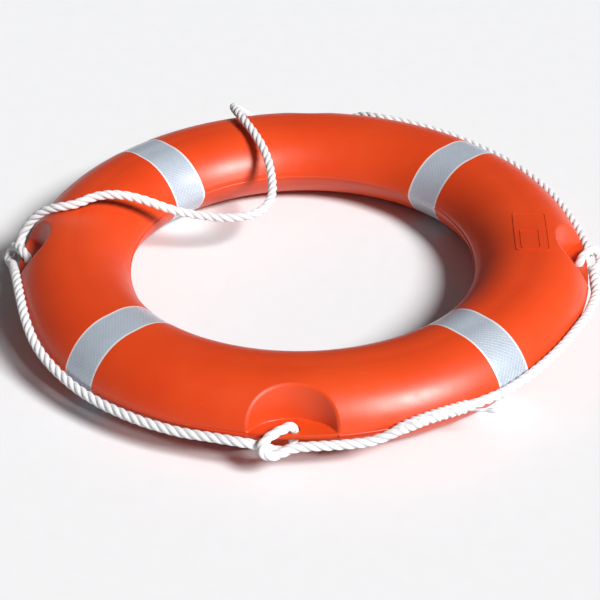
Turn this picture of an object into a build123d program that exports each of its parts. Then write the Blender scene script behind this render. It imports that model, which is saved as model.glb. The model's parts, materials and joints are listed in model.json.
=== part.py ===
"""Ring lifebuoy: two moulded half shells round a foam core, with tapes and a grab line.

Millimetres. The ring's axis is Z, and its underside stands on z = 0. A recess with a web and
a rope hole lies on each of +X, +Y, -X and -Y. The grab line runs anticlockwise, seen from above.
"""

import os
from math import atan2, cos, degrees, pi, radians, sin, tan

from build123d import *

os.makedirs("parts", exist_ok=True)

# --- The ring's section -------------------------------------------------------------------
OUTER_DIAMETER = 730  # over the seam bead
INNER_DIAMETER = 440  # inside the seam bead
HEIGHT = 97
SEAM_BEAD = 1.0  # how far the bead stands out
SEAM_BEAD_HALF_HEIGHT = 1.6
LAND_HALF_WIDTH = 8  # the flat strip along the top and the underside
NOSE_RADIUS = 18  # the round at the outer and inner equators
WALL = 3

MID = HEIGHT / 2
TUBE_RADIUS = (OUTER_DIAMETER + INNER_DIAMETER) / 4  # from the ring's axis to the tube's centre
HALF_WIDTH = (OUTER_DIAMETER - INNER_DIAMETER) / 4 - SEAM_BEAD
NOSE_CENTRE = HALF_WIDTH - NOSE_RADIUS
CROWN_REACH = NOSE_CENTRE - LAND_HALF_WIDTH
CROWN_RADIUS = (CROWN_REACH**2 + MID**2 - NOSE_RADIUS**2) / (2 * (MID - NOSE_RADIUS))
CROWN_END = degrees(atan2(CROWN_RADIUS - MID, CROWN_REACH))  # where crown and nose arcs meet

# --- Recesses, webs and rope holes --------------------------------------------------------
QUARTERS = 4
RECESS_CENTRE = 396
RECESS_FLOOR_RADIUS = 63
RECESS_DRAFT = 13.5
RECESS_RIM_ROUND = 5
RECESS_FLOOR_ROUND = 2
WEB_HALF = 3  # each shell gives half of the web
ROPE_HOLE_CENTRE = 352
ROPE_HOLE_RADIUS = 8
ROPE_HOLE_ROUND = 1

# --- Tapes --------------------------------------------------------------------------------
TAPE_WIDTH = 50
BAND_DEPTH = 0.8
TAPE_THICKNESS = 0.5
TAPE_BUTT_GAP = 0.6
TAPE_ANGLES = {
    "tape_back_right": 45,
    "tape_back_left": 135,
    "tape_front_left": 225,
    "tape_front_right": 315,
}

# --- Raised blank frame on the top --------------------------------------------------------
FRAME_CENTRE = (290.5, 4)
FRAME_SIZE = (43, 90)
FIELD_CENTRE = (288, -15)
FIELD_SIZE = (24, 44)
DIVIDER_Y = 9.5
FRAME_CORNER = 5
FIELD_CORNER = 3
FRAME_LINE = 1.6
FRAME_HEIGHT = 0.7

# --- Foam plugs in the underside ----------------------------------------------------------
PLUG_ANGLES = {"foam_fill_plug": 22, "foam_vent_plug": 202}
PLUG_HEAD_RADIUS = 6
PLUG_HEAD_TOP = 2
PLUG_SINK = 0.5
PLUG_STEM_RADIUS = 4
PLUG_STEM_TOP = 11

# --- Grab line ----------------------------------------------------------------------------
ROPE_DIAMETER = 12
SPLICE_DIAMETER = 16
TAIL_DIAMETER = 5
ARC_SHARE = 0.45  # of the shorter run beside a corner, taken by the corner's arc

SECTION_PLANE = Plane(origin=(TUBE_RADIUS, 0, MID), x_dir=(1, 0, 0), z_dir=(0, -1, 0))
MID_PLANE = Plane.XY.offset(MID)


def tube_section(inset):
    """The tube's outline, pulled in by inset all round."""
    with BuildSketch(SECTION_PLANE) as section:
        with BuildLine():
            Line((0, MID - inset), (LAND_HALF_WIDTH, MID - inset))
            CenterArc(
                (LAND_HALF_WIDTH, MID - CROWN_RADIUS), CROWN_RADIUS - inset, CROWN_END, 90 - CROWN_END
            )
            CenterArc((NOSE_CENTRE, 0), NOSE_RADIUS - inset, 0, CROWN_END)
            mirror(about=Plane.XZ)
            mirror(about=Plane.YZ)
        make_face()
    return section.sketch


OUTER_SECTION = tube_section(0)
CAVITY_SECTION = tube_section(WALL)
BAND_SECTION = tube_section(BAND_DEPTH)
TAPE_SECTION = tube_section(BAND_DEPTH - TAPE_THICKNESS)
FRAME_SECTION = tube_section(-FRAME_HEIGHT)

# --- Half shell, the same for both sides but for the frame and the plug holes --------------

# The foam's shape before its plug holes: the cavity, less the four recesses and their walls.
with BuildPart() as cavity:
    revolve(CAVITY_SECTION, axis=Axis.Z)
    for direction in (1, -1):
        with BuildSketch(MID_PLANE):
            with PolarLocations(RECESS_CENTRE, QUARTERS):
                Circle(RECESS_FLOOR_RADIUS + WALL)
        extrude(amount=direction * HEIGHT, taper=-RECESS_DRAFT, mode=Mode.SUBTRACT)

with BuildPart() as seam_bead:
    with BuildSketch(SECTION_PLANE):
        Rectangle(2 * (HALF_WIDTH + SEAM_BEAD), 2 * SEAM_BEAD_HALF_HEIGHT)
        chamfer(vertices(), SEAM_BEAD / 2)
    revolve(axis=Axis.Z)
    with BuildSketch(MID_PLANE):
        with PolarLocations(RECESS_CENTRE, QUARTERS):
            Circle(RECESS_FLOOR_RADIUS)
    extrude(amount=MID, both=True, mode=Mode.SUBTRACT)

# The skin that the tape bands take off, as one ring before it is cut to the bands' width.
with BuildPart() as band_skin:
    revolve(tube_section(-2 * SEAM_BEAD), axis=Axis.Z)
    revolve(BAND_SECTION, axis=Axis.Z, mode=Mode.SUBTRACT)
    with PolarLocations(TUBE_RADIUS, QUARTERS, start_angle=45):
        with Locations((0, 0, MID)):
            Box(4 * HALF_WIDTH, TAPE_WIDTH, 2 * HEIGHT, mode=Mode.INTERSECT)

with BuildPart() as half_shell:
    revolve(OUTER_SECTION, axis=Axis.Z)
    add(seam_bead.part)
    split(bisect_by=MID_PLANE, keep=Keep.TOP)
    with BuildSketch(MID_PLANE.offset(WEB_HALF)):
        with PolarLocations(RECESS_CENTRE, QUARTERS):
            Circle(RECESS_FLOOR_RADIUS)
    extrude(amount=HEIGHT, taper=-RECESS_DRAFT, mode=Mode.SUBTRACT)
    rims = edges(Select.LAST).filter_by(GeomType.BSPLINE)
    rims = rims.filter_by(lambda rim: rim.center().Z > MID + WEB_HALF + RECESS_FLOOR_ROUND)
    fillet(rims, RECESS_RIM_ROUND)
    web_edges = edges().filter_by(GeomType.CIRCLE).filter_by_position(
        Axis.Z, MID + WEB_HALF - 0.01, MID + WEB_HALF + 0.01
    )
    fillet(
        web_edges.filter_by(lambda edge: abs(edge.radius - RECESS_FLOOR_RADIUS) < 0.01),
        RECESS_FLOOR_ROUND,
    )
    add(band_skin.part, mode=Mode.SUBTRACT)
    add(cavity.part, mode=Mode.SUBTRACT)
    with BuildSketch(MID_PLANE):
        with PolarLocations(ROPE_HOLE_CENTRE, QUARTERS):
            Circle(ROPE_HOLE_RADIUS)
    extrude(amount=MID, mode=Mode.SUBTRACT)
    hole_mouths = edges().filter_by(GeomType.CIRCLE)
    hole_mouths = hole_mouths.filter_by(lambda edge: abs(edge.radius - ROPE_HOLE_RADIUS) < 0.01)
    fillet(hole_mouths.group_by(Axis.Z)[-1], ROPE_HOLE_ROUND)

# The raised frame: an outline, a smaller outline in it and a divider, all left blank.
with BuildPart() as raised_frame:
    revolve(FRAME_SECTION, axis=Axis.Z)
    revolve(BAND_SECTION, axis=Axis.Z, mode=Mode.SUBTRACT)
    with BuildSketch(MID_PLANE) as frame_lines:
        with Locations(FRAME_CENTRE):
            RectangleRounded(*FRAME_SIZE, FRAME_CORNER)
            offset(amount=-FRAME_LINE, mode=Mode.SUBTRACT)
        with Locations((FRAME_CENTRE[0], DIVIDER_Y)):
            Rectangle(FRAME_SIZE[0] - FRAME_LINE, FRAME_LINE)
        with BuildSketch(MID_PLANE, mode=Mode.PRIVATE) as field_lines:
            with Locations(FIELD_CENTRE):
                RectangleRounded(*FIELD_SIZE, FIELD_CORNER)
            offset(amount=-FRAME_LINE / 2, mode=Mode.SUBTRACT)
        add(field_lines.sketch)
    extrude(amount=HEIGHT, mode=Mode.INTERSECT)

with BuildPart() as shell_upper:
    add(half_shell.part)
    add(raised_frame.part)
shell_upper.part.label = "shell_upper"
export_step(shell_upper.part, "parts/shell_upper.step")

plug_places = [
    Location((TUBE_RADIUS * cos(radians(angle)), TUBE_RADIUS * sin(radians(angle)), 0))
    for angle in PLUG_ANGLES.values()
]

with BuildPart() as shell_lower:
    add(half_shell.part.rotate(Axis((0, 0, MID), (1, 0, 0)), 180))
    with BuildSketch(Plane.XY):
        with Locations(*plug_places):
            Circle(PLUG_HEAD_RADIUS)
    extrude(amount=PLUG_HEAD_TOP, mode=Mode.SUBTRACT)
    with BuildSketch(Plane.XY):
        with Locations(*plug_places):
            Circle(PLUG_STEM_RADIUS)
    extrude(amount=PLUG_STEM_TOP, mode=Mode.SUBTRACT)
shell_lower.part.label = "shell_lower"
export_step(shell_lower.part, "parts/shell_lower.step")

with BuildPart() as foam_core:
    add(cavity.part)
    with BuildSketch(Plane.XY):
        with Locations(*plug_places):
            Circle(PLUG_STEM_RADIUS)
    extrude(amount=PLUG_STEM_TOP, mode=Mode.SUBTRACT)
foam_core.part.label = "foam_core"
export_step(foam_core.part, "parts/foam_core.step")

# --- Plugs: a flat head sunk in the shell and a stem that reaches into the foam ------------
for name, place in zip(PLUG_ANGLES, plug_places):
    with BuildPart() as plug:
        with BuildSketch(Plane.XY.offset(PLUG_SINK)):
            with Locations(place):
                Circle(PLUG_HEAD_RADIUS)
        extrude(amount=PLUG_HEAD_TOP - PLUG_SINK)
        with BuildSketch(Plane.XY.offset(PLUG_SINK)):
            with Locations(place):
                Circle(PLUG_STEM_RADIUS)
        extrude(amount=PLUG_STEM_TOP - PLUG_SINK)
    plug.part.label = name
    export_step(plug.part, f"parts/{name}.step")

# --- Tapes: one strip round the whole section, its ends butted at the outer seam -----------
for name, angle in TAPE_ANGLES.items():
    with BuildPart() as tape:
        revolve(TAPE_SECTION, axis=Axis.Z)
        revolve(BAND_SECTION, axis=Axis.Z, mode=Mode.SUBTRACT)
        with BuildSketch(MID_PLANE):
            with PolarLocations(TUBE_RADIUS, 1, start_angle=angle):
                Rectangle(4 * HALF_WIDTH, TAPE_WIDTH)
        extrude(amount=HEIGHT, both=True, mode=Mode.INTERSECT)
        with BuildSketch(MID_PLANE):
            with PolarLocations(TUBE_RADIUS + HALF_WIDTH, 1, start_angle=angle):
                Rectangle(4 * NOSE_RADIUS, 2 * TAPE_WIDTH)
        extrude(amount=TAPE_BUTT_GAP / 2, both=True, mode=Mode.SUBTRACT)
    tape.part.label = name
    export_step(tape.part, f"parts/{name}.step")


# --- Grab line ----------------------------------------------------------------------------


def at_lug(angle, steps):
    """Points given as (along the rim, out from the axis, height over the web's middle)."""
    turn = radians(angle)
    return [
        Vector(out * cos(turn) - along * sin(turn), out * sin(turn) + along * cos(turn), MID + height)
        for along, out, height in steps
    ]


def round_rim(steps):
    """Points given as (angle, distance from the axis, height over the web's middle)."""
    return [
        Vector(out * cos(radians(angle)), out * sin(radians(angle)), MID + height)
        for angle, out, height in steps
    ]


def halfway(before, after):
    """The joint between two pieces of the line, in the middle of the run between them."""
    return (before[-1] + after[0]) * 0.5


# At each web the line dips under it, comes up through the hole, goes back over the web, and
# crosses outside itself on its way out. On the right it goes the other way round.
UP_THROUGH_HOLE = [
    (-26, 366.5, -15),
    (-12, 364, -20.5),
    (-1, 358, -19.5),
    (1.6, 352.2, -9.5),
    (1.8, 352.6, 3.5),
    (-3.2, 358.5, 11.7),
]
BACK_OVER_WEB = [
    (-14, 365.3, 10.6),
    (-24.3, 371.3, 7.8),
    (-34, 378, 1.8),
    (-34.3, 382.6, -7),
    (-25.8, 385, -12),
    (-14, 379.8, -11.5),
]
OUT_ALONG_RIM = [(-1.8, 373, -8.7), (14, 371.3, -7)]
TURN = UP_THROUGH_HOLE + BACK_OVER_WEB + OUT_ALONG_RIM
RISING_TURN = UP_THROUGH_HOLE + BACK_OVER_WEB + [(-2, 375, -5.5), (13, 371.5, 3)]
BACKWARD_TURN = [(-along, out, height) for along, out, height in reversed(TURN)]

hitch_front = at_lug(270, [(-60, 371, -1.5), (-42, 370.5, -5.5), *TURN])
hitch_right = at_lug(0, [(-54, 371.3, -8), (-33, 371, -8), *BACKWARD_TURN, (42, 370.5, -5.5)])
hitch_back = at_lug(90, [(-72, 365.5, 19), (-56, 370, 7), (-41, 370, -6.5), *TURN])
hitch_left = at_lug(180, [(-51, 371.5, 5.5), (-40, 369.8, -7), *RISING_TURN])

loop_front_left = round_rim(
    [
        (185.6, 367.5, 11),
        (188.6, 365, 18.5),
        (192.5, 363.2, 20.3),
        (199, 364, 19.8),
        (206, 368.8, 14.6),
        (213, 373, 5.4),
        (221, 372.5, -2.4),
        (230, 372.4, -7),
        (240.5, 372.4, -7.1),
        (249.5, 372.1, -6.2),
        (255.1, 371.7, -3.7),
    ]
)
loop_front_right = round_rim([(276.3, 371.6, -7), (280.5, 371.9, -7.1), (284.5, 372.6, -6.6)])
splice = round_rim([(289, 374, 5.2), (293.6, 373.2, 10.8), (298, 372.2, 10.8), (302, 373.4, 10)])
loop_right_front = round_rim(
    [
        (307.2, 373, 7.9),
        (312, 372.6, 6.4),
        (319, 371.6, 7.9),
        (327, 370.9, 8),
        (334, 371.3, 8.4),
        (340.5, 372.3, 3.6),
        (345.8, 372, -5.5),
    ]
)
loop_back_right = round_rim(
    [
        (11.5, 372, -6),
        (16.5, 372, -2.9),
        (23.5, 372.4, 1.8),
        (32, 373, 5.8),
        (40.5, 370.7, 11.2),
        (49, 368.8, 13.4),
        (56, 366.8, 16.6),
        (62, 364.8, 19.8),
        (68.4, 363, 22.6),
        (73.8, 361.5, 24.4),
    ]
)
# The slack: up over the back of the ring, down into the opening, and out over the left side.
loop_back_left = [
    Vector(x, y, MID + height)
    for x, y, height in [
        (-44, 373.5, -6.5),
        (-66, 373, 0.5),
        (-87, 365, 16),
        (-102, 349, 36),
        (-108, 325, 54.5),
        (-95, 285, 60.5),
        (-74, 246, 57),
        (-55, 209, 44),
        (-46, 171, 31),
        (-43, 130, 21),
        (-58, 90, 19.5),
        (-98, 78, 19),
        (-139, 80, 22.5),
        (-176, 76, 34),
        (-208, 66, 55),
        (-240, 60.5, 66.5),
        (-270, 59.5, 64),
        (-293, 48, 58),
        (-315, 47, 54.5),
        (-333, 52, 48),
        (-354, 54, 32),
    ]
]

GRAB_LINE = {
    "grabline_front_left": loop_front_left,
    "hitch_front": hitch_front,
    "grabline_front_right": loop_front_right,
    "grabline_splice": splice,
    "grabline_right_front": loop_right_front,
    "hitch_right": hitch_right,
    "grabline_back_right": loop_back_right,
    "hitch_back": hitch_back,
    "grabline_back_left": loop_back_left,
    "hitch_left": hitch_left,
}


def arc_radii(points):
    """For each corner, the radius of an arc that takes its share of the shorter run."""
    radii = []
    for before, corner, after in zip(points, points[1:], points[2:]):
        run_in = corner - before
        run_out = after - corner
        turn = radians(run_in.get_angle(run_out))
        radii.append(ARC_SHARE * min(run_in.length, run_out.length) / tan(turn / 2))
    return radii


def tube_along(points, diameter):
    """A plain round tube on straight runs joined by arcs."""
    with BuildPart() as tube:
        with BuildLine():
            route = FilletPolyline(*points, radius=arc_radii(points))
        with BuildSketch(Plane(origin=route @ 0, z_dir=route % 0)):
            Circle(diameter / 2)
        sweep(path=route)
    share = tube.part.volume / (pi * diameter**2 / 4 * route.length)
    arcs = ", ".join(f"{radius:.0f}" for radius in arc_radii(points))
    print(f"length {route.length:.0f}, volume ratio {share:.4f}, arcs {arcs}")
    return tube.part


pieces = list(GRAB_LINE.values())
following = pieces[1:] + pieces[:1]
joints = [halfway(piece, after) for piece, after in zip(pieces, following)]
starts = joints[-1:] + joints[:-1]

for (name, points), start, end in zip(GRAB_LINE.items(), starts, joints):
    print(name, end=": ")
    diameter = SPLICE_DIAMETER if name == "grabline_splice" else ROPE_DIAMETER
    with BuildPart() as line_piece:
        add(tube_along([start, *points, end], diameter))
        if name == "grabline_splice":
            # The last strand end stands off the underside of the splice.
            tail = round_rim([(302.8, 375.5, 5.2), (304.7, 380.2, 2.2), (306.9, 384.6, -2)])
            add(tube_along(tail, TAIL_DIAMETER))
    line_piece.part.label = name
    export_step(line_piece.part, f"parts/{name}.step")
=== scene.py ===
"""Ring lifebuoy: the laid grab line, every material, the floor, the light and the camera.

Metres, in the CAD model's frame. The ring's axis is Z, and its underside stands on z = 0.
"""

import json
from math import ceil, cos, pi, radians, sin

import bpy
import numpy as np
from mathutils import Matrix, Vector


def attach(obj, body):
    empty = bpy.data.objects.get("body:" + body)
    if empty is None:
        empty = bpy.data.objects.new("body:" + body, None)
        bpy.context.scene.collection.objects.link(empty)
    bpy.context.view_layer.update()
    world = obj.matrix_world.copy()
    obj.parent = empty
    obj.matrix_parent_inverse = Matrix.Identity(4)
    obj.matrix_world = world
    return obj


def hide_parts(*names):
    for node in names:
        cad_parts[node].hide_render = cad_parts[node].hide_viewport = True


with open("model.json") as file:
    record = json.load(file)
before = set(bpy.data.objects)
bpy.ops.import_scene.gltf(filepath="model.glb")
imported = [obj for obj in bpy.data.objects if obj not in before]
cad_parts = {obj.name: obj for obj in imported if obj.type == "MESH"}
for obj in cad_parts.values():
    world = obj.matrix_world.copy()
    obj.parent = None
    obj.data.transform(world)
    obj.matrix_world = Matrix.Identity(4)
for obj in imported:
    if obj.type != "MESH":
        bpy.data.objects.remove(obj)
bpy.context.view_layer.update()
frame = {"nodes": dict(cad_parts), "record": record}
scene = bpy.context.scene

# --- Camera -------------------------------------------------------------------------------
SENSOR_WIDTH = 36  # millimetres, as the lens is
LENS = 117.7
CAMERA_PLACE = (0.0814, -2.1188, 1.4102)
AZIMUTH, TILT, ROLL = radians(2.2), radians(57.292), radians(-0.822)
AIM_ACROSS, AIM_UP = 0.0015, -0.0186  # radians off the ring's middle

camera_data = bpy.data.cameras.new("camera")
camera_data.sensor_width = SENSOR_WIDTH
camera_data.lens = LENS
camera = bpy.data.objects.new("camera", camera_data)
scene.collection.objects.link(camera)
camera_turn = (
    Matrix.Rotation(AZIMUTH, 3, "Z")
    @ Matrix.Rotation(TILT, 3, "X")
    @ Matrix.Rotation(AIM_ACROSS, 3, "Y")
    @ Matrix.Rotation(AIM_UP, 3, "X")
    @ Matrix.Rotation(ROLL, 3, "Z")
)
camera.matrix_world = Matrix.Translation(CAMERA_PLACE) @ camera_turn.to_4x4()
bpy.context.scene.camera = camera

# --- The grab line's route, which is the CAD tubes' route ---------------------------------
MID = 0.0485  # the height of the webs' middle
ROPE_DIAMETER = 0.012


def at_lug(angle, steps):
    """Points given as (along the rim, out from the axis, height over the web's middle)."""
    cosine, sine = cos(radians(angle)), sin(radians(angle))
    return [
        Vector((out * cosine - along * sine, out * sine + along * cosine, MID + height))
        for along, out, height in steps
    ]


def round_rim(steps):
    """Points given as (angle, distance from the axis, height over the web's middle)."""
    return [
        Vector((out * cos(radians(angle)), out * sin(radians(angle)), MID + height))
        for angle, out, height in steps
    ]


def joint(before, after):
    """Where one piece of the line ends and the next begins."""
    return (before[-1] + after[0]) / 2


# At each web the line dips under it, comes up through the hole, goes back over the web, and
# crosses outside itself on its way out. On the right it goes the other way round.
UP_THROUGH_HOLE = [
    (-0.026, 0.3665, -0.015),
    (-0.012, 0.364, -0.0205),
    (-0.001, 0.358, -0.0195),
    (0.0016, 0.3522, -0.0095),
    (0.0018, 0.3526, 0.0035),
    (-0.0032, 0.3585, 0.0117),
]
BACK_OVER_WEB = [
    (-0.014, 0.3653, 0.0106),
    (-0.0243, 0.3713, 0.0078),
    (-0.034, 0.378, 0.0018),
    (-0.0343, 0.3826, -0.007),
    (-0.0258, 0.385, -0.012),
    (-0.014, 0.3798, -0.0115),
]
OUT_ALONG_RIM = [(-0.0018, 0.373, -0.0087), (0.014, 0.3713, -0.007)]
TURN = UP_THROUGH_HOLE + BACK_OVER_WEB + OUT_ALONG_RIM
RISING_TURN = UP_THROUGH_HOLE + BACK_OVER_WEB + [(-0.002, 0.375, -0.0055), (0.013, 0.3715, 0.003)]
BACKWARD_TURN = [(-along, out, height) for along, out, height in reversed(TURN)]

hitch_front = at_lug(270, [(-0.06, 0.371, -0.0015), (-0.042, 0.3705, -0.0055), *TURN])
hitch_right = at_lug(
    0,
    [(-0.054, 0.3713, -0.008), (-0.033, 0.371, -0.008), *BACKWARD_TURN, (0.042, 0.3705, -0.0055)],
)
hitch_back = at_lug(
    90, [(-0.072, 0.3655, 0.019), (-0.056, 0.37, 0.007), (-0.041, 0.37, -0.0065), *TURN]
)
hitch_left = at_lug(180, [(-0.051, 0.3715, 0.0055), (-0.04, 0.3698, -0.007), *RISING_TURN])

loop_front_left = round_rim(
    [
        (185.6, 0.3675, 0.011),
        (188.6, 0.365, 0.0185),
        (192.5, 0.3632, 0.0203),
        (199, 0.364, 0.0198),
        (206, 0.3688, 0.0146),
        (213, 0.373, 0.0054),
        (221, 0.3725, -0.0024),
        (230, 0.3724, -0.007),
        (240.5, 0.3724, -0.0071),
        (249.5, 0.3721, -0.0062),
        (255.1, 0.3717, -0.0037),
    ]
)
loop_front_right = round_rim(
    [(276.3, 0.3716, -0.007), (280.5, 0.3719, -0.0071), (284.5, 0.3726, -0.0066)]
)
splice = round_rim(
    [(289, 0.374, 0.0052), (293.6, 0.3732, 0.0108), (298, 0.3722, 0.0108), (302, 0.3734, 0.01)]
)
tail = round_rim([(302.8, 0.3755, 0.0052), (304.7, 0.3802, 0.0022), (306.9, 0.3846, -0.002)])
loop_right_front = round_rim(
    [
        (307.2, 0.373, 0.0079),
        (312, 0.3726, 0.0064),
        (319, 0.3716, 0.0079),
        (327, 0.3709, 0.008),
        (334, 0.3713, 0.0084),
        (340.5, 0.3723, 0.0036),
        (345.8, 0.372, -0.0055),
    ]
)
loop_back_right = round_rim(
    [
        (11.5, 0.372, -0.006),
        (16.5, 0.372, -0.0029),
        (23.5, 0.3724, 0.0018),
        (32, 0.373, 0.0058),
        (40.5, 0.3707, 0.0112),
        (49, 0.3688, 0.0134),
        (56, 0.3668, 0.0166),
        (62, 0.3648, 0.0198),
        (68.4, 0.363, 0.0226),
        (73.8, 0.3615, 0.0244),
    ]
)
# The slack: up over the back of the ring, down into the opening, and out over the left side.
loop_back_left = [
    Vector((x, y, MID + height))
    for x, y, height in [
        (-0.044, 0.3735, -0.0065),
        (-0.066, 0.373, 0.0005),
        (-0.087, 0.365, 0.016),
        (-0.102, 0.349, 0.036),
        (-0.108, 0.325, 0.0545),
        (-0.095, 0.285, 0.0605),
        (-0.074, 0.246, 0.057),
        (-0.055, 0.209, 0.044),
        (-0.046, 0.171, 0.031),
        (-0.043, 0.13, 0.021),
        (-0.058, 0.09, 0.0195),
        (-0.098, 0.078, 0.019),
        (-0.139, 0.08, 0.0225),
        (-0.176, 0.076, 0.034),
        (-0.208, 0.066, 0.055),
        (-0.24, 0.0605, 0.0665),
        (-0.27, 0.0595, 0.064),
        (-0.293, 0.048, 0.058),
        (-0.315, 0.047, 0.0545),
        (-0.333, 0.052, 0.048),
        (-0.354, 0.054, 0.032),
    ]
]

GRAB_LINE = {
    "grabline_front_left": loop_front_left,
    "hitch_front": hitch_front,
    "grabline_front_right": loop_front_right,
    "grabline_splice": splice,
    "grabline_right_front": loop_right_front,
    "hitch_right": hitch_right,
    "grabline_back_right": loop_back_right,
    "hitch_back": hitch_back,
    "grabline_back_left": loop_back_left,
    "hitch_left": hitch_left,
}

# --- The grab line's skins ----------------------------------------------------------------
STEP = 0.0012  # the distance between points along the rope, at most
ROUND = 48  # points round the rope
LAY = 0.038  # the length in which a strand goes once round
STRAND_OFFSET = 0.36  # from the rope's middle to a strand's, as a share of the rope's radius
STRAND_RADIUS = 0.64  # as a share of the rope's radius
UPWARD = np.array((0.0, 0.0, 1.0))

TUCK_PITCH = 0.0125  # the splice's length for each tuck of a strand
TUCK_RADIUS = 0.0066  # where a tucked strand goes under another
TUCK_RISE = 0.0019  # how much further out it is where it goes over one
SPLICE_SWELL = 1.12  # the splice between tucks, as a share of the rope
SPLICE_TAPER = 0.022  # the length of each end of the splice

YARNS = 9  # in the loose strand end
YARN_SIDES = 8
YARN_RADIUS = 0.0008
YARN_FRAY = 0.0035  # how far a yarn may stray at its tip
TAIL_LENGTH = 0.02


def followed(points):
    """Close points read from the NURBS spline that has these control points."""
    curve = bpy.data.curves.new("route", "CURVE")
    curve.dimensions = "3D"
    spline = curve.splines.new("NURBS")
    spline.points.add(len(points) - 1)
    for control, point in zip(spline.points, points):
        control.co = (*point, 1)
    spline.order_u = 3
    spline.use_endpoint_u = True
    longest_run = max((after - before).length for before, after in zip(points, points[1:]))
    curve.resolution_u = ceil(longest_run / STEP)
    holder = bpy.data.objects.new("route", curve)
    line = bpy.data.meshes.new_from_object(holder)
    path = np.array([vertex.co for vertex in line.vertices])
    bpy.data.objects.remove(holder)
    bpy.data.curves.remove(curve)
    bpy.data.meshes.remove(line)
    return path


def unit(vectors):
    return vectors / np.linalg.norm(vectors, axis=-1, keepdims=True)


def carried_sides(tangents):
    """A direction square to each tangent, carried from one to the next without twist."""
    side = UPWARD
    sides = []
    for tangent in tangents:
        side = unit(side - tangent * side.dot(tangent))
        sides.append(side)
    return np.array(sides)


def rings_round(path, tangents, sides, angles, radii):
    """A ring of points round each point of the path."""
    cosines, sines = np.cos(angles)[..., None], np.sin(angles)[..., None]
    across = cosines * sides[:, None] + sines * np.cross(tangents, sides)[:, None]
    return path[:, None] + radii[..., None] * across


def skin(name, tubes):
    """One mesh over tubes, each (rings, distance along), with a UV map of (metres, turns)."""
    vertices, faces, uvs = [], [], []
    for rings, along in tubes:
        rows, columns = rings.shape[:2]
        first = len(vertices)
        vertices.extend(rings.reshape(-1, 3).tolist())
        for row in range(rows - 1):
            for column in range(columns):
                corners = [
                    (row, column), (row, column + 1), (row + 1, column + 1), (row + 1, column)
                ]
                faces.append([first + down * columns + over % columns for down, over in corners])
                uvs.extend((along[down], over / columns) for down, over in corners)
    mesh = bpy.data.meshes.new(name)
    mesh.from_pydata(vertices, [], faces)
    mesh.uv_layers.new(name="lay").data.foreach_set("uv", np.array(uvs).ravel())
    mesh.shade_smooth()
    piece = bpy.data.objects.new(name, mesh)
    scene.collection.objects.link(piece)
    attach(piece, "root")
    return piece


def lobes(angles):
    """The radius of three strands side by side, as a share of the rope's radius."""
    from_strand = (angles + pi / 3) % (2 * pi / 3) - pi / 3
    reach = STRAND_RADIUS**2 - (STRAND_OFFSET * np.sin(from_strand)) ** 2
    return STRAND_OFFSET * np.cos(from_strand) + np.sqrt(reach)


def spliced(radii, from_start):
    """Tucked strands that cross the lay, over one strand and under the next, and taper out."""
    swell = np.clip(np.minimum(from_start, from_start[::-1]) / SPLICE_TAPER, 0, 1)
    swell = swell * swell * (3 - 2 * swell)
    crossing = 2 * pi * from_start / TUCK_PITCH
    over = 0.5 + 0.5 * np.cos(3 * ring_angles - crossing / 2)
    tucked = lobes(ring_angles + crossing / 3) * (TUCK_RADIUS + TUCK_RISE * over)
    return radii + (np.maximum(radii * SPLICE_SWELL, tucked) - radii) * swell


def frayed_end():
    """The yarns of the strand end that stands off the splice."""
    path = followed(tail)
    tangents = unit(np.gradient(path, axis=0))
    sides = carried_sides(tangents)
    others = np.cross(tangents, sides)
    share = np.linspace(0, 1, len(path))
    blunt_taper = np.sqrt(1.02 - share)
    radii = np.tile(YARN_RADIUS * blunt_taper[:, None], (1, YARN_SIDES))
    angles = np.tile(np.arange(YARN_SIDES) * 2 * pi / YARN_SIDES, (len(path), 1))
    rng = np.random.default_rng(7)
    yarns = []
    for turn in np.arange(YARNS) * 2 * pi / YARNS:
        stray = YARN_FRAY * share**2 * rng.uniform(0.4, 1)
        lean = np.cos(turn) * sides + np.sin(turn) * others
        yarn = path + lean * (YARN_RADIUS + stray)[:, None]
        yarns.append((rings_round(yarn, tangents, sides, angles, radii), share * TAIL_LENGTH))
    return yarns


pieces = list(GRAB_LINE.values())
joints = [joint(piece, after) for piece, after in zip(pieces, pieces[1:] + pieces[:1])]
starts = joints[-1:] + joints[:-1]
paths = {
    name: followed([start, *points, end])
    for (name, points), start, end in zip(GRAB_LINE.items(), starts, joints)
}

# The pieces make one closed line, so that each strand runs on from piece to piece. What the
# sides have turned by the time they are back at the start is spread over the whole line.
line = np.concatenate([path[:-1] for path in paths.values()])
ahead = np.roll(line, -1, axis=0)
tangents = unit(ahead - np.roll(line, 1, axis=0))
tangents = np.concatenate([tangents, tangents[:1]])
travelled = np.concatenate([[0], np.cumsum(np.linalg.norm(ahead - line, axis=1))])
sides = carried_sides(tangents)
gap = np.arctan2(np.cross(sides[-1], sides[0]).dot(tangents[0]), sides[-1].dot(sides[0]))
lay_turns = round(travelled[-1] / LAY)
phases = (2 * pi * lay_turns + gap) * travelled / travelled[-1]
ring_angles = np.arange(ROUND) * 2 * pi / ROUND

skins = {}
first = 0
for name, path in paths.items():
    here = slice(first, first + len(path))
    first += len(path) - 1
    along = travelled[here]
    angles = phases[here, None] + ring_angles
    radii = np.tile(lobes(ring_angles), (len(path), 1)) * ROPE_DIAMETER / 2
    if name == "grabline_splice":
        radii = spliced(radii, (along - along[0])[:, None])
    tubes = [(rings_round(path, tangents[here], sides[here], angles, radii), along)]
    if name == "grabline_splice":
        tubes += frayed_end()
    skins[name] = skin(name + "_rope", tubes)
    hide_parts(name)

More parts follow.
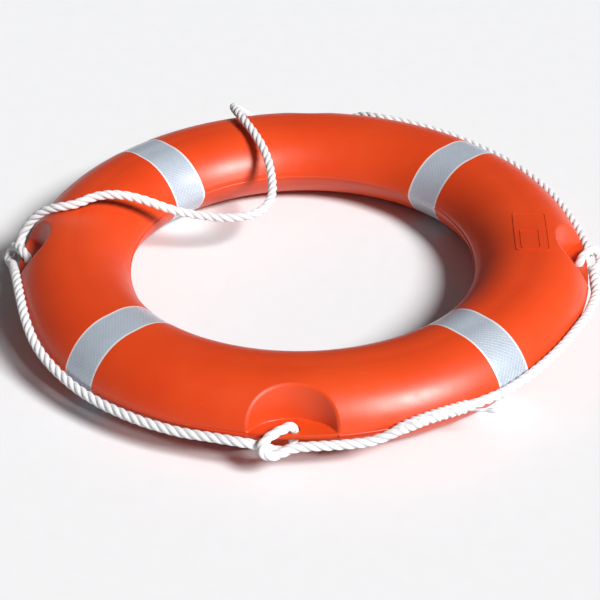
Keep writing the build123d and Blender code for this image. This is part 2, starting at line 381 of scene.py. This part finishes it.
# --- Materials ----------------------------------------------------------------------------
TAPE_CIRCLE = 0.2925  # the distance from the ring's axis to the middle of its section
TAPE_RADIUS = 0.062  # the section's radius, for lengths along a tape
DIAGONAL = 0.7071  # each tape sits at 45 degrees between x and y
CELL_PITCH = 0.0058
PRISM_PITCH = 0.0016
TAPE_EDGE = (0.0219, 0.0226)  # where the pale sealed edge, which also carries a painted highlight, begins and is full, from the tape's middle
YARNS_SEEN = 42  # round the rope


def opaque(colour):
    return colour if isinstance(colour, bpy.types.NodeSocket) else (*colour, 1)


class Nodes:
    """Short calls for one material's nodes."""

    def __init__(self, name):
        self.material = bpy.data.materials.new(name)
        self.material.use_nodes = True
        self.tree = self.material.node_tree
        self.shader = self.tree.nodes["Principled BSDF"]

    def fill(self, socket, value):
        if isinstance(value, bpy.types.NodeSocket):
            self.tree.links.new(value, socket)
        else:
            socket.default_value = value

    def add(self, kind, inputs=(), **settings):
        node = self.tree.nodes.new(kind)
        for key, value in settings.items():
            setattr(node, key, value)
        for key, value in dict(inputs).items():
            self.fill(node.inputs[key], value)
        return node

    def math(self, operation, first, second=0.0):
        return self.add("ShaderNodeMath", {0: first, 1: second}, operation=operation).outputs[0]

    def coordinates(self, kind="Object"):
        return self.add("ShaderNodeTexCoord").outputs[kind]

    def noise(self, vector, scale, detail=2.0, roughness=0.5):
        inputs = {"Vector": vector, "Scale": scale, "Detail": detail, "Roughness": roughness}
        return self.add("ShaderNodeTexNoise", inputs).outputs["Fac"]

    def between(self, share, low, high, low_share=0.0, high_share=1.0):
        """From low, where the share is low_share, to high, where it is high_share."""
        inputs = {0: share, 1: low_share, 2: high_share, 3: low, 4: high}
        return self.add("ShaderNodeMapRange", inputs).outputs[0]

    def colours(self, share, first, second):
        """From the first colour, where the share is 0, to the second, where it is 1."""
        inputs = {0: share, 6: opaque(first), 7: opaque(second)}
        return self.add("ShaderNodeMix", inputs, data_type="RGBA").outputs[2]

    def bump(self, height, distance, **under):
        inputs = {"Height": height, "Distance": distance, **under}
        return self.add("ShaderNodeBump", inputs).outputs[0]

    def shade(self, **inputs):
        """Sets the shader's inputs, named with underscores for spaces."""
        for key, value in inputs.items():
            self.fill(self.shader.inputs[key.replace("_", " ")], value)
        return self.material


def moulded(name, deep, bright):
    """Satin moulded polyethylene: faint clouding, a fine pebble and a few light scuffs."""
    nodes = Nodes(name)
    place = nodes.coordinates()
    clouds = nodes.between(nodes.noise(place, 9.0, 3.0), 0.0, 1.0, 0.3, 0.7)
    clean = nodes.colours(clouds, deep, bright)
    scratches = nodes.add("ShaderNodeMapping", {"Vector": place, "Scale": (24.0, 330.0, 90.0)})
    streaks = nodes.noise(scratches.outputs[0], 1.0, 4.0, 0.6)
    scuffs = nodes.between(streaks, 0.0, 0.1, 0.66, 0.8)
    worn = [0.35 + 0.65 * part for part in bright]
    pebble = nodes.noise(place, 520.0, 2.0)
    return nodes.shade(
        Base_Color=nodes.colours(scuffs, clean, worn),
        Roughness=nodes.between(nodes.noise(place, 45.0, 3.0), 0.36, 0.42, 0.3, 0.7),
        Normal=nodes.bump(pebble, 0.00006),
    )


def tape_material():
    """Retro-reflective tape: a diamond grid of sealed cells, fine prisms, and pale sealed edges
    that also carry a painted highlight.
    """
    nodes = Nodes("reflective_tape")
    place = nodes.coordinates()
    x, y, z = nodes.add("ShaderNodeSeparateXYZ", {0: place}).outputs
    east = nodes.math("ABSOLUTE", x)
    north = nodes.math("ABSOLUTE", y)
    across = nodes.math("MULTIPLY", nodes.math("SUBTRACT", north, east), DIAGONAL)
    out = nodes.math("MULTIPLY", nodes.math("ADD", north, east), DIAGONAL)
    from_middle = nodes.math("SUBTRACT", out, TAPE_CIRCLE)
    angle = nodes.math("ARCTAN2", nodes.math("SUBTRACT", z, MID), from_middle)
    length = nodes.math("MULTIPLY", angle, TAPE_RADIUS)

    def grid_line(direction, pitch, width):
        """1 on thin lines across a direction, 0 between them."""
        step = nodes.math("FRACT", nodes.math("DIVIDE", direction, pitch))
        from_line = nodes.math("ABSOLUTE", nodes.math("SUBTRACT", step, 0.5))
        return nodes.between(from_line, 0.0, 1.0, 0.5 - width, 0.5 - width / 2)

    rising = grid_line(nodes.math("ADD", length, across), CELL_PITCH, 0.1)
    falling = grid_line(nodes.math("SUBTRACT", length, across), CELL_PITCH, 0.1)
    cells = nodes.math("MAXIMUM", rising, falling)
    prisms = grid_line(across, PRISM_PITCH, 0.3)
    sealed_edge_and_highlight = nodes.between(nodes.math("ABSOLUTE", across), 0.0, 1.0, *TAPE_EDGE)
    mottle = nodes.noise(place, 55.0, 4.0, 0.6)
    silver = nodes.colours(mottle, (0.39, 0.45, 0.53), (0.52, 0.58, 0.66))
    hatched = nodes.colours(nodes.math("MULTIPLY", prisms, 0.35), silver, (0.30, 0.36, 0.44))
    # Pale cells and edges: the edges are a sealed border and also a painted highlight along the
    # tape's sides.
    pale = nodes.math(
        "MAXIMUM", nodes.math("MULTIPLY", cells, 0.3), nodes.math("MULTIPLY", sealed_edge_and_highlight, 0.9)
    )
    sealed = nodes.math("MAXIMUM", cells, sealed_edge_and_highlight)
    height = nodes.math("SUBTRACT", nodes.math("MULTIPLY", prisms, 0.3), sealed)
    return nodes.shade(
        Base_Color=nodes.colours(pale, hatched, (0.80, 0.80, 0.80)),
        Roughness=nodes.between(mottle, 0.28, 0.42),
        Metallic=0.2,
        Normal=nodes.bump(height, 0.00012),
        Coat_Weight=0.4,
        Coat_Roughness=0.2,
    )


def rope_material():
    """White laid rope: yarns that run along it over the strands, with painted shade in the
    grooves and between the yarns.
    """
    nodes = Nodes("white_rope")
    place = nodes.coordinates()
    along, turn = nodes.add("ShaderNodeSeparateXYZ", {0: nodes.coordinates("UV")}).outputs[:2]
    lobe = nodes.math("FRACT", nodes.math("ADD", nodes.math("MULTIPLY", turn, 3.0), 0.5))
    off_strand = nodes.math("ABSOLUTE", nodes.math("SUBTRACT", lobe, 0.5))
    groove = nodes.between(off_strand, 0.0, 1.0, 0.3, 0.5)
    slant = nodes.math("ADD", turn, nodes.math("DIVIDE", along, LAY))
    yarn_wave = nodes.math("SINE", nodes.math("MULTIPLY", slant, 2 * pi * YARNS_SEEN))
    # Painted shade: darker stripes between the yarns.
    painted_shade_between_yarns = nodes.between(yarn_wave, 0.12, 0.0, -1.0, 0.2)
    fibres = nodes.noise(place, 1400.0, 3.0, 0.6)
    clean = nodes.colours(nodes.noise(place, 26.0, 3.0), (0.86, 0.855, 0.86), (0.93, 0.925, 0.93))
    with_painted_yarn_shade = nodes.colours(painted_shade_between_yarns, clean, (0.55, 0.54, 0.58))
    # Painted shade: grey in the grooves between the strands.
    painted_groove_shade = nodes.math("MULTIPLY", groove, 0.3)
    return nodes.shade(
        Base_Color=nodes.colours(painted_groove_shade, with_painted_yarn_shade, (0.42, 0.40, 0.46)),
        Roughness=nodes.between(fibres, 0.55, 0.75),
        Normal=nodes.bump(fibres, 0.00012, Normal=nodes.bump(yarn_wave, 0.00016)),
        Sheen_Weight=0.25,
        Sheen_Roughness=0.4,
    )


def foam_material():
    """Closed-cell foam, pale and matt."""
    nodes = Nodes("pale_foam")
    place = nodes.coordinates()
    clouds = nodes.noise(place, 30.0, 3.0)
    cells = nodes.add("ShaderNodeTexVoronoi", {"Vector": place, "Scale": 700.0}).outputs[0]
    return nodes.shade(
        Base_Color=nodes.colours(clouds, (0.72, 0.58, 0.34), (0.86, 0.76, 0.52)),
        Roughness=nodes.between(cells, 0.75, 0.95),
        Normal=nodes.bump(cells, 0.0003),
    )


def floor_material():
    """A plain pale studio floor."""
    nodes = Nodes("pale_floor")
    speckle = nodes.noise(nodes.coordinates(), 40.0, 2.0)
    pale = nodes.colours(speckle, (0.75, 0.75, 0.76), (0.78, 0.78, 0.79))
    return nodes.shade(Base_Color=pale, Roughness=0.9)


def cover(piece, material):
    piece.data.materials.clear()
    piece.data.materials.append(material)


materials = {
    "shell": moulded("orange_polyethylene", (0.60, 0.043, 0.005), (0.66, 0.059, 0.008)),
    "plug": moulded("orange_plug", (0.64, 0.044, 0.003), (0.70, 0.056, 0.005)),
    "tape": tape_material(),
    "rope": rope_material(),
    "foam": foam_material(),
}
for part in frame["record"]["subparts"]:
    material = materials[part["material_slot"]]
    cover(frame["nodes"][part["node"]], material)
    if part["node"] in skins:
        cover(skins[part["node"]], material)

# --- Which piece of the grab line follows which -------------------------------------------
FOLLOWED_BY = {
    "grabline_front_left": "hitch_front",
    "grabline_front_right": "grabline_splice",
    "grabline_right_front": "hitch_right",
    "grabline_back_right": "hitch_back",
    "grabline_back_left": "hitch_left",
}
for name, next_name in FOLLOWED_BY.items():
    path = paths[name]

# --- Floor and light ----------------------------------------------------------------------
FLOOR_SIZE = 100
FLOOR_HEIGHT = -0.0005  # just under the ring
KEY_STRENGTH = 5.2
KEY_WIDTH = radians(18)  # how wide the light looks from the ring
KEY_DIRECTION = Vector((-0.57, 0.49, -0.66))
SKY_COLOUR = (0.95, 0.97, 1.0, 1)
SKY_STRENGTH = 0.09

bpy.ops.mesh.primitive_plane_add(size=FLOOR_SIZE)
floor = bpy.context.object
floor.name = "floor"
floor.location.z = FLOOR_HEIGHT
cover(floor, floor_material())

key_data = bpy.data.lights.new("key", "SUN")
key_data.energy = KEY_STRENGTH
key_data.angle = KEY_WIDTH
key = bpy.data.objects.new("key", key_data)
key.rotation_euler = KEY_DIRECTION.to_track_quat("-Z", "Y").to_euler()
scene.collection.objects.link(key)

world = bpy.data.worlds.new("studio")
world.use_nodes = True
sky = world.node_tree.nodes["Background"].inputs
sky["Color"].default_value = SKY_COLOUR
sky["Strength"].default_value = SKY_STRENGTH
scene.world = world
scene.view_settings.view_transform = "Standard"
